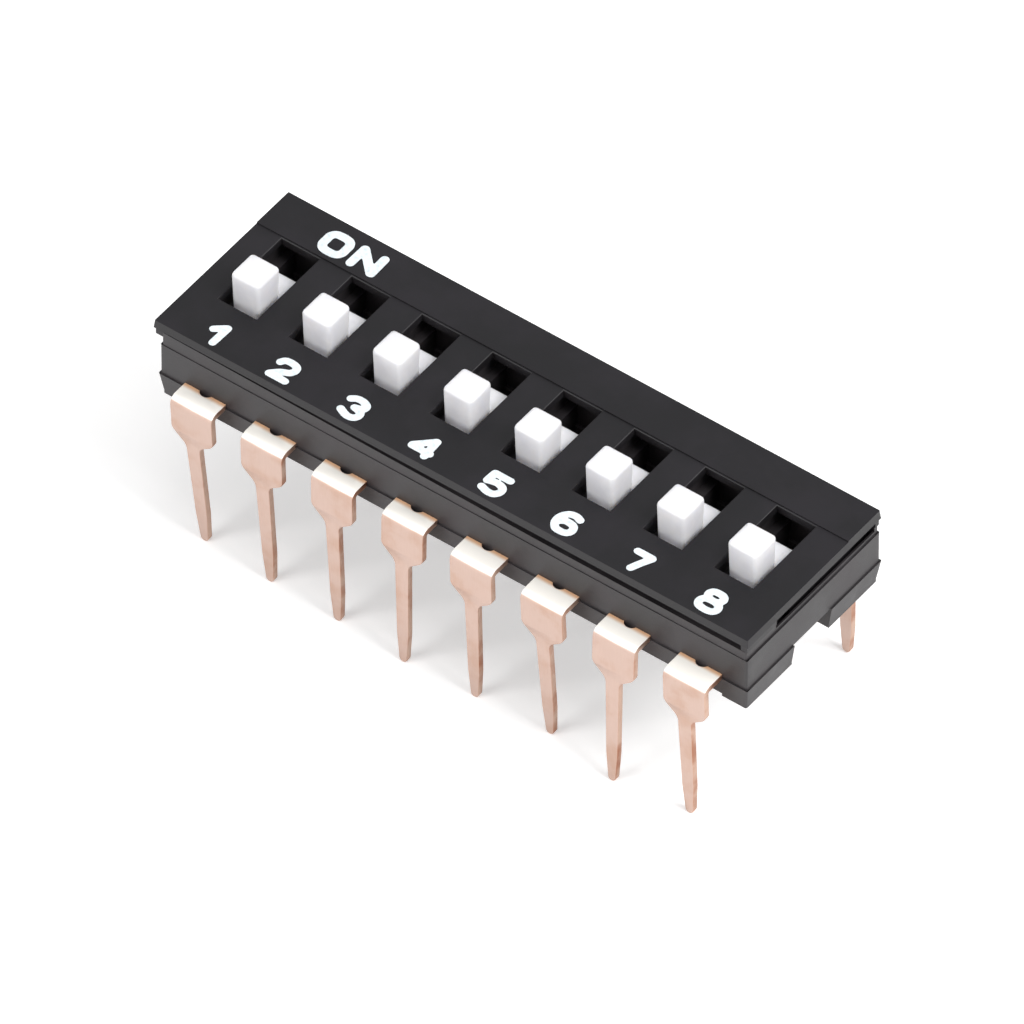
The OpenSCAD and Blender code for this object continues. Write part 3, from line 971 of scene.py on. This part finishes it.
@dataclass
class Slider(Workpiece):
    """A knob on a bar that runs under the cover on two pairs of ears, with a groove before the knob.

    Sizes are in millimetres.
    """

    knob_l: float = 1.0
    knob_flare: float = 0.03
    knob_r: float = 0.14
    bar_w: float = 0.98
    bar_t: float = 0.5
    back_gap: float = 0.07
    groove_l: float = 0.24
    groove_d: float = 0.36
    bar_r: float = 0.03
    ear_l: float = 0.4
    ear_inset: float = 0.12
    ear_rise: float = 0.09
    peg_r: float = 0.2
    peg_l: float = 0.25
    peg_root: float = 0.05
    plastic: MouldedPlastic = SLIDER_PLASTIC

    def build(self) -> list[bpy.types.Object]:
        """Models the first slider from the block of its bar, and copies it for the others.

        Returns:
            The finished sliders, in order.
        """
        low, high = box_mm("slider_1")
        middle = (low + high) / 2
        bar_z = low.z + self.peg_l
        bar_top = bar_z + self.bar_t
        self.start("slider_knob_1", (middle.x - self.bar_w / 2, low.y, bar_z),
                   (middle.x + self.bar_w / 2, high.y - self.back_gap, bar_top))
        ears = [(low.y + self.ear_inset, low.y + self.ear_inset + self.ear_l),
                (high.y - self.ear_inset - self.ear_l, high.y - self.ear_inset)]
        knob_y = middle.y - self.knob_l / 2
        self.cut(1, [y for ear in ears for y in ear])
        self.cut(1, [knob_y, middle.y + self.knob_l / 2])
        self.add_ears(middle, ears, high.x - middle.x - self.bar_w / 2)
        groove = ((middle.x - CLEAR, knob_y - self.groove_l, bar_top - self.groove_d),
                  (middle.x + CLEAR, knob_y, bar_top + CLEAR))
        self.carve(Workpiece().start("cutter", *groove))
        self.raise_knob(middle, bar_top, high.z)
        self.soften(self.bar_r)
        self.add_post((middle.x, middle.y, low.z), self.peg_r, self.peg_l + self.peg_root)
        first = dress(self.finish(smooth=50), self.plastic.make())
        moves = {f"slider_knob_{i}": (middle_x(f"slider_{i}") - middle.x) * MM for i in POSITIONS[1:]}
        return [first, *(copy_of(first, name, (x, 0, 0)) for name, x in moves.items())]

    def add_ears(self, middle: Vector, ears: list[Pair], reach: float) -> None:
        """Pulls the ears out of the bar's sides and up.

        Args:
            middle: The slider's middle.
            ears: Where each pair begins and ends along Y.
            reach: How far an ear stands out.
        """
        for side in SIDES:
            self.pick(Part.FACES, lambda p, n: n.x * side > ALONG and any(a < p.y < b for a, b in ears))
            self.extrude((side * reach, 0, 0))
        self.pick(Part.FACES, lambda p, n: n.z > ALONG and abs(p.x - middle.x) > self.bar_w / 2)
        self.extrude((0, 0, self.ear_rise))

    def raise_knob(self, middle: Vector, bar_top: float, top: float) -> None:
        """Raises the knob out of the bar's top, flares it and rounds its corners and top.

        Args:
            middle: The slider's middle.
            bar_top: The height of the bar's upper face.
            top: The height of the knob's top.
        """
        self.pick(Part.FACES, lambda p, n: n.z > ALONG and abs(p.y - middle.y) < self.knob_l / 2)
        self.extrude((0, 0, top - bar_top))
        flare = [1 + 2 * self.knob_flare / size for size in (self.bar_w, self.knob_l)]
        self.stretch((*flare, 1), (middle.x, middle.y, top))
        self.pick(Part.EDGES, lambda p, d: p.z > bar_top + self.ear_rise + SAME
                  or (abs(d.z) > ALONG and near(p.y, middle.y - self.knob_l / 2)
                      and p.z > bar_top - self.groove_d))
        self.round_edges(self.knob_r, segments=5)


# ---- Contacts ----

@dataclass
class SpringContacts:
    """The bridges of spring sheet on the sliders' pegs, in the shape that the frame gives them."""

    sheet: RolledStrip = SPRING_SHEET

    def build(self) -> list[bpy.types.Object]:
        """Dresses the contacts.

        Returns:
            The contacts, in order.
        """
        metal = self.sheet.make()
        return [dress(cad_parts[f"contact_{i}"], metal) for i in POSITIONS]


# ---- Terminals ----

@dataclass(frozen=True)
class Handling:
    """How far handling has moved one leg: degrees inwards, degrees sideways, millimetres outwards."""

    inwards: float
    sideways: float
    outwards: float = 0.0


@dataclass
class Terminal(Workpiece):
    """A stamped strip with an anchor hole, bent down at a wide shoulder over a narrow leg.

    It is modelled at X = 0 with its leg towards +Y. Sizes are in millimetres.
    """

    inner_r: float = 0.05
    shoulder_w: float = 1.49
    shoulder_h: float = 1.26
    shoulder_r: float = 0.12
    slope_h: float = 0.42
    waist_r: float = 0.16
    sway_h: float = 0.1
    leg_w: float = 0.48
    leg_low_w: float = 0.41
    leg_end_z: float = -4.7
    point_w: float = 0.25
    point_l: float = 1.1
    point_r: float = 0.11875
    pad_w: float = 1.3
    root_y: float = 2.8
    bend_y: float = 3.65
    anchor_y: float = 3.1
    anchor_r: float = 0.225
    # A block well away from the strip, from which the anchor hole's cutter starts
    away: tuple[Place, Place] = ((-9, -9, -9), (-8, -8, -8))
    edge_r: float = 0.022
    # A face is a sheared one when less than this share of its normal runs through the strip
    sheared: float = 0.5
    faces: RolledStrip = PLATED_FACE
    edges: RolledStrip = SHEARED_EDGE
    front: tuple[Handling, ...] = (
        Handling(3.2, 3.3), Handling(1.5, 2.6), Handling(0.7, 1.9), Handling(-1.1, 1.4),
        Handling(1.6, 0.5, 0.12), Handling(3.2, 1.5, 0.14), Handling(-1.9, 1.3, 0.08),
        Handling(2.2, 1.2, 0.14))
    back: tuple[Handling, ...] = (
        Handling(-1, 0.5), Handling(1, -1), Handling(0, 0.5), Handling(-2, -1.5), Handling(1, 0),
        Handling(-1.5, 1), Handling(0.5, -0.5), Handling(-2.5, 1))

    def __post_init__(self) -> None:
        """Settles the heights of the bend, the shoulder's lower corners and the waist below them."""
        self.under_z = FLOOR_Z - STRIP_T
        self.bend_z = self.under_z - self.inner_r
        self.corner_z = self.bend_z - (self.shoulder_h - STRIP_T - self.inner_r)
        self.waist_z = self.corner_z - self.slope_h

    def build(self) -> list[tuple[str, bpy.types.Object]]:
        """Models one strip for each row, and bends a copy of it for each position.

        Returns:
            The node that each finished terminal stands for, and the terminal.
        """
        terminals = []
        metals = (self.faces.make(), self.edges.make())
        for row, side, handlings in (("front", -1, self.front), ("back", 1, self.back)):
            self.stamp(f"{row}_strip", self.pad_start(row, side))
            for i, handling in zip(POSITIONS, handlings):
                node = f"{row}_terminal_{i}"
                place = PITCH * (i - (len(POSITIONS) + 1) / 2)
                terminals.append((node, dress(self.bend(node, side, place, handling), *metals)))
            self.drop()
        return terminals

    def pad_start(self, row: str, side: int) -> float:
        """Gives where a row's pads begin inside the base, seen with the leg towards +Y."""
        low, high = box_mm(f"{row}_terminal_1")
        return low.y if side > 0 else -high.y

    def stamp(self, name: str, pad_y: float) -> None:
        """Models the strip with a square bend.

        Args:
            name: The strip's name.
            pad_y: Where its pad begins.
        """
        half = self.shoulder_w / 2
        self.start(name, (-half, self.root_y, self.under_z), (half, self.bend_y, FLOOR_Z))
        self.carve_anchor()
        self.pick(Part.FACES, lambda p, n: n.y < -ALONG and p.y < self.root_y + SAME)
        self.extrude((0, 0, 0))
        self.stretch((self.pad_w / self.shoulder_w, 1, 1), (0, self.root_y, self.under_z))
        self.extrude((0, pad_y - self.root_y, 0))
        self.pick(Part.FACES, lambda p, n: n.y > ALONG and p.y > self.bend_y - SAME)
        self.spin((0, self.bend_y, self.bend_z), (1, 0, 0), degrees=90, steps=7)
        self.draw_down_leg()
        self.mark_edges()
        self.soften(self.edge_r, angle=40)

    def carve_anchor(self) -> None:
        """Punches the anchor hole."""
        cutter = Workpiece().start("cutter", *self.away)
        cutter.add_post((0, self.anchor_y, self.under_z - CLEAR), self.anchor_r, 2 * CLEAR + STRIP_T)
        self.carve(cutter)

    def draw_down_leg(self) -> None:
        """Draws the shoulder, the slope, the leg and its point down from the bend."""
        shoulder = (self.shoulder_w, self.corner_z)
        waist = (self.leg_w, self.waist_z)
        point = (self.point_w, self.leg_end_z)
        width, z = self.shoulder_w, self.bend_z
        for next_width, next_z in (shoulder, waist, (self.leg_low_w, self.leg_end_z + self.point_l), point):
            self.extrude((0, 0, next_z - z))
            self.stretch((next_width / width, 1, 1), (0, self.bend_y, next_z))
            width, z = next_width, next_z
        for (width, z), radius, segments in ((point, self.point_r, 4), (shoulder, self.shoulder_r, 3),
                                             (waist, self.waist_r, 4)):
            self.pick(Part.EDGES, lambda p, d: abs(d.y) > ALONG and near(p.z, z)
                      and near(abs(p.x), width / 2))
            self.round_edges(radius, segments)

    def mark_edges(self) -> None:
        """Gives the sheared faces round the strip's outline the second finish."""
        self.pick(Part.FACES, lambda p, n: abs(n.y) < self.sheared if p.z < self.bend_z - SAME
                  else abs(n.x) > self.sheared or (p.y < self.bend_y and abs(n.z) < self.sheared))
        self.refinish()

    def bend(self, node: str, side: int, place: float, handling: Handling) -> bpy.types.Object:
        """Bends a copy of the strip as handling left it, and puts it in its place.

        Args:
            node: The node that it stands for.
            side: 1 for the back row, -1 for the front row.
            place: Its place along the row.
            handling: How far its leg was moved.

        Returns:
            The finished terminal.
        """
        piece = self.copy(node.replace("terminal", "pin"))
        out_y = self.bend_y + handling.outwards
        leg_y = out_y + self.inner_r + STRIP_T / 2
        piece.pick(Part.CORNERS, lambda p, n: p.y > self.bend_y - SAME or p.z < self.bend_z + SAME)
        piece.shift((0, handling.outwards, 0))
        piece.pick(Part.CORNERS, lambda p, n: p.z < self.bend_z + SAME)
        piece.turn(-handling.inwards, "X", (0, out_y, self.bend_z))
        piece.pick(Part.CORNERS, lambda p, n: p.z < self.waist_z + self.sway_h)
        piece.turn(handling.sideways, "Y", (0, leg_y, self.waist_z))
        bpy.ops.mesh.select_all(action="SELECT")
        if side < 0:
            piece.turn(180, "Z", (0, 0, 0))
        piece.shift((place, 0, 0))
        return piece.finish(smooth=50)


# ---- Print ----

@dataclass
class PadPrinting:
    """The numbers along the front of the cover and the word ON on its band.

    Each sign is a few brush lines on its own middle, in millimetres.
    """

    film: float = 0.012
    grid: float = 0.02
    # The strokes are this many grid cells thick before they are pressed to a film
    layers: int = 5
    # Half a block inside the first stroke, from which a sign starts
    core: float = 0.05
    number_y: float = -2.56
    number_stroke: float = 0.25
    word_stroke: float = 0.285
    ink: PadPrint = INK
    numbers: tuple[tuple[Line, ...], ...] = (
        (((-0.1, 0.1), (0.21, 0.35)), ((0.23, 0.35), (0.21, -0.35))),
        (((-0.3, 0.2), (-0.2, 0.33), (0, 0.355), (0.2, 0.31), (0.27, 0.17), (0.18, 0), (-0.06, -0.12),
          (-0.29, -0.33)), ((-0.3, -0.345), (0.27, -0.345))),
        (((-0.34, 0.25), (-0.18, 0.35), (0.04, 0.355), (0.22, 0.26), (0.2, 0.1), (-0.04, 0.03)),
         ((-0.04, 0.03), (0.2, -0.03), (0.26, -0.18), (0.16, -0.33), (-0.06, -0.355), (-0.34, -0.24))),
        (((0.13, 0.34), (-0.37, -0.14)), ((-0.37, -0.17), (0.26, -0.17)), ((0.15, 0.34), (0.18, -0.32))),
        (((-0.32, 0.365), (0.22, 0.365)), ((-0.33, 0.36), (-0.35, 0.03)),
         ((-0.35, 0.01), (-0.06, 0.08), (0.18, 0.02), (0.25, -0.14), (0.14, -0.32), (-0.08, -0.355),
          (-0.34, -0.28))),
        (((0.2, 0.32), (0.02, 0.38), (-0.2, 0.33), (-0.35, 0.12), (-0.36, -0.12), (-0.22, -0.32),
          (-0.04, -0.355), (0.16, -0.32), (0.26, -0.17), (0.2, 0), (0.02, 0.06), (-0.16, 0.04),
          (-0.34, -0.1)),),
        (((-0.3, 0.345), (0.2, 0.345)), ((0.22, 0.33), (0.06, 0.02), (-0.08, -0.31))),
        (((0.03, 0.39), (0.2, 0.36), (0.28, 0.23), (0.2, 0.09), (0.03, 0.05), (-0.15, 0.09), (-0.23, 0.23),
          (-0.15, 0.36), (0.03, 0.39)),
         ((0.03, 0.05), (0.27, 0), (0.35, -0.16), (0.26, -0.31), (0.03, -0.35), (-0.2, -0.31), (-0.29, -0.16),
          (-0.21, 0), (0.03, 0.05))),
    )
    word: tuple[tuple[str, float, float, tuple[Line, ...]], ...] = (
        ("print_O", -8.32, 2.315,
         (((0, 0.36), (0.23, 0.33), (0.345, 0.19), (0.35, 0), (0.345, -0.19), (0.23, -0.33), (0, -0.36),
           (-0.23, -0.33), (-0.345, -0.19), (-0.35, 0), (-0.345, 0.19), (-0.23, 0.33), (0, 0.36)),)),
        ("print_N", -7.185, 2.325,
         (((-0.37, -0.345), (-0.36, 0.345)), ((-0.35, 0.345), (0.35, -0.345)),
          ((0.37, -0.345), (0.35, 0.345)))),
    )

    def build(self) -> list[bpy.types.Object]:
        """Prints every sign.

        Returns:
            The finished signs.
        """
        band = box_mm("cover")[1].z
        ink = self.ink.make()
        signs = []
        for i, lines in zip(POSITIONS, self.numbers):
            place = (middle_x(f"slider_{i}"), self.number_y, band - BAND_STEP)
            signs.append(dress(self.print_sign(f"print_{i}", lines, place, self.number_stroke), ink))
        for name, x, y, lines in self.word:
            signs.append(dress(self.print_sign(name, lines, (x, y, band), self.word_stroke), ink))
        return signs

    def print_sign(self, name: str, lines: tuple[Line, ...], place: Place, stroke: float) -> bpy.types.Object:
        """Lays one sign's lines down as thick rounded strokes and presses them to a film.

        Args:
            name: The sign's name.
            lines: Its lines.
            place: The sign's middle, on the face that it is printed on.
            stroke: The lines' width.

        Returns:
            The finished sign.
        """
        thick = self.layers * self.grid
        x, y = lines[0][0]
        piece = Workpiece().start(name, (x - self.core, y - self.core, 0),
                                  (x + self.core, y + self.core, thick))
        for line in lines:
            points = self.smooth_line(line)
            for (x0, y0), (x1, y1) in zip(points, points[1:]):
                piece.add_post((x0, y0, 0), stroke / 2, thick, sides=20)
                length = math.hypot(x1 - x0, y1 - y0)
                piece.add_block((-length / 2, -stroke / 2, 0), (length / 2, stroke / 2, thick))
                piece.turn(math.degrees(math.atan2(y1 - y0, x1 - x0)), "Z", (0, 0, 0))
                piece.shift(((x0 + x1) / 2, (y0 + y1) / 2, 0))
            piece.add_post((*points[-1], 0), stroke / 2, thick, sides=20)
        piece.modify("REMESH", mode="VOXEL", voxel_size=self.grid)
        piece.modify("SMOOTH", factor=0.5, iterations=3)
        bpy.ops.mesh.select_all(action="SELECT")
        piece.stretch((1, 1, self.film / thick), (0, 0, 0))
        piece.shift(place)
        return piece.finish(smooth=60)

    def smooth_line(self, line: Line, steps: int = 4) -> Line:
        """Draws a line of three or more points as a Catmull-Rom curve through them.

        Args:
            line: The points.
            steps: The pieces between two points.

        Returns:
            The curve's points.
        """
        if len(line) < 3:
            return line
        closed = line[0] == line[-1]
        before, after = (line[-2], line[1]) if closed else (line[0], line[-1])
        p = np.array([before, *line, after])
        curve = []
        for a, b, c, d in zip(p, p[1:], p[2:], p[3:]):
            for t in np.arange(steps) / steps:
                curve.append(tuple(0.5 * (2 * b + (c - a) * t + (2 * a - 5 * b + 4 * c - d) * t ** 2
                                          + (3 * b - a - 3 * c + d) * t ** 3)))
        return (*curve, line[-1])


# ---- Stage ----

@dataclass(frozen=True)
class Lamp:
    """A square lamp that faces the object: place and width in metres, power in watts."""

    name: str
    place: Place
    width: float
    power: float


@dataclass
class Studio:
    """A plain pale floor under a white surround, soft lamps and the camera.

    Sizes are in metres, the lens's and the sensor's in millimetres.
    """

    azimuth: float = math.radians(36.8)
    elevation: float = math.radians(46.45)
    distance: float = 0.8
    focal_length: float = 980.15625
    sensor_width: float = 36.0
    # How far the view's middle lies from the plate's middle, to the left and down
    off_right: float = -0.201 * MM
    off_up: float = -2.729 * MM
    surround_light: float = 0.36
    floor_size: float = 0.6
    floor_lift: float = 0.35
    lamps: tuple[Lamp, ...] = (Lamp("key", (0.03, -0.01, 0.25), 0.16, 0.15),
                               Lamp("side", (0.18, 0.02, 0.2), 0.13, 0.53),
                               Lamp("front", (-0.1, -0.21, 0.14), 0.14, 0.3))

    def build(self) -> None:
        """Makes the camera, the surround, the floor and the lamps."""
        scene = bpy.context.scene
        scene.view_settings.view_transform = "Standard"
        self.add_camera(scene)
        self.add_surround(scene)
        self.add_floor()
        self.add_lamps()

    def add_camera(self, scene: bpy.types.Scene) -> None:
        """Places the camera.

        Args:
            scene: The scene that it serves.
        """
        a, e = self.azimuth, self.elevation
        towards = Vector((math.sin(a) * math.cos(e), -math.cos(a) * math.cos(e), math.sin(e)))
        right = Vector((math.cos(a), math.sin(a), 0))
        plate = Vector((0, 0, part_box("cover")[1].z - BAND_STEP * MM))
        aim = plate + right * self.off_right + towards.cross(right) * self.off_up
        deselect()
        bpy.ops.object.camera_add(location=aim + towards * self.distance)
        camera = bpy.context.object
        camera.name = "camera"
        camera.rotation_euler = towards.to_track_quat("Z", "Y").to_euler()
        camera.data.sensor_width = self.sensor_width
        camera.data.lens = self.focal_length
        camera.data.clip_start = 0.01
        scene.camera = camera

    def add_surround(self, scene: bpy.types.Scene) -> None:
        """Makes the world: white to the camera and in reflections, softer as a light.

        Args:
            scene: The scene that it surrounds.
        """
        world = bpy.data.worlds.new("white_surround")
        world.use_nodes = True
        tree = world.node_tree
        tree.nodes.clear()
        strength = add_node(tree, "ShaderNodeMapRange", {
            "Value": self.seen_directly(tree), "To Min": self.surround_light, "To Max": 1.0})
        light = add_node(tree, "ShaderNodeBackground", {
            "Color": (1, 1, 1, 1), "Strength": strength.outputs["Result"]})
        add_node(tree, "ShaderNodeOutputWorld", {"Surface": light.outputs[0]})
        scene.world = world

    def seen_directly(self, tree: bpy.types.NodeTree) -> Socket:
        """Gives 1 for what the camera sees, itself or in a reflection, and 0 for what only lights.

        Args:
            tree: The node tree that asks.

        Returns:
            The socket with the answer.
        """
        path = add_node(tree, "ShaderNodeLightPath").outputs
        seen = path["Is Camera Ray"]
        for ray in ("Is Glossy Ray", "Is Transmission Ray"):
            seen = add_node(tree, "ShaderNodeMath", {0: seen, 1: path[ray]}, operation="MAXIMUM").outputs[0]
        return seen

    def add_floor(self) -> None:
        """Lays the floor at the legs' tips: it keeps the object's shadow and looks near white."""
        surface = Surface("pale_floor")
        lift = add_node(surface.tree, "ShaderNodeMath", {
            0: self.seen_directly(surface.tree), 1: self.floor_lift}, operation="MULTIPLY")
        surface.feed({"Base Color": linear("#f4f4f4"), "Roughness": 0.9, "Specular IOR Level": 0.1,
                      "Emission Color": linear("#ffffff"), "Emission Strength": lift.outputs[0]})
        deselect()
        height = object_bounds()[0][2]
        bpy.ops.mesh.primitive_plane_add(size=self.floor_size, location=(0, 0, height))
        floor = bpy.context.object
        floor.name = "floor"
        bpy.ops.object.transform_apply(location=True, rotation=True, scale=True)
        dress(floor, surface.material)
        floor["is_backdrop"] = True

    def add_lamps(self) -> None:
        """Hangs a broad lamp overhead, a side lamp for the right end and one low at the front left."""
        for lamp in self.lamps:
            deselect()
            bpy.ops.object.light_add(type="AREA", location=lamp.place)
            light = bpy.context.object
            light.name = lamp.name
            light.data.size = lamp.width
            light.data.energy = lamp.power
            light.rotation_euler = Vector(lamp.place).to_track_quat("Z", "Y").to_euler()


def main() -> None:
    """Builds the pieces in order, seats them on their bodies, and sets up the studio."""
    logging.basicConfig(level=logging.INFO, format="%(message)s")
    seat(MouldedBase().build(), "housing", "base_plastic", "base")
    seat(CoverPlate().build(), "housing", "cover_plastic", "cover")
    for i, knob in zip(POSITIONS, Slider().build()):
        seat(knob, f"switch_{i}", "slider_plastic", f"slider_{i}")
    for contact in SpringContacts().build():
        LOG.info("%s: %d faces, as in the frame", contact.name, len(contact.data.polygons))
    for node, pin in Terminal().build():
        seat(pin, "housing", "terminal_plating", node)
    for sign in PadPrinting().build():
        seat(sign, "housing", "cover_plastic")
    Studio().build()


if __name__ == "__main__":
    main()
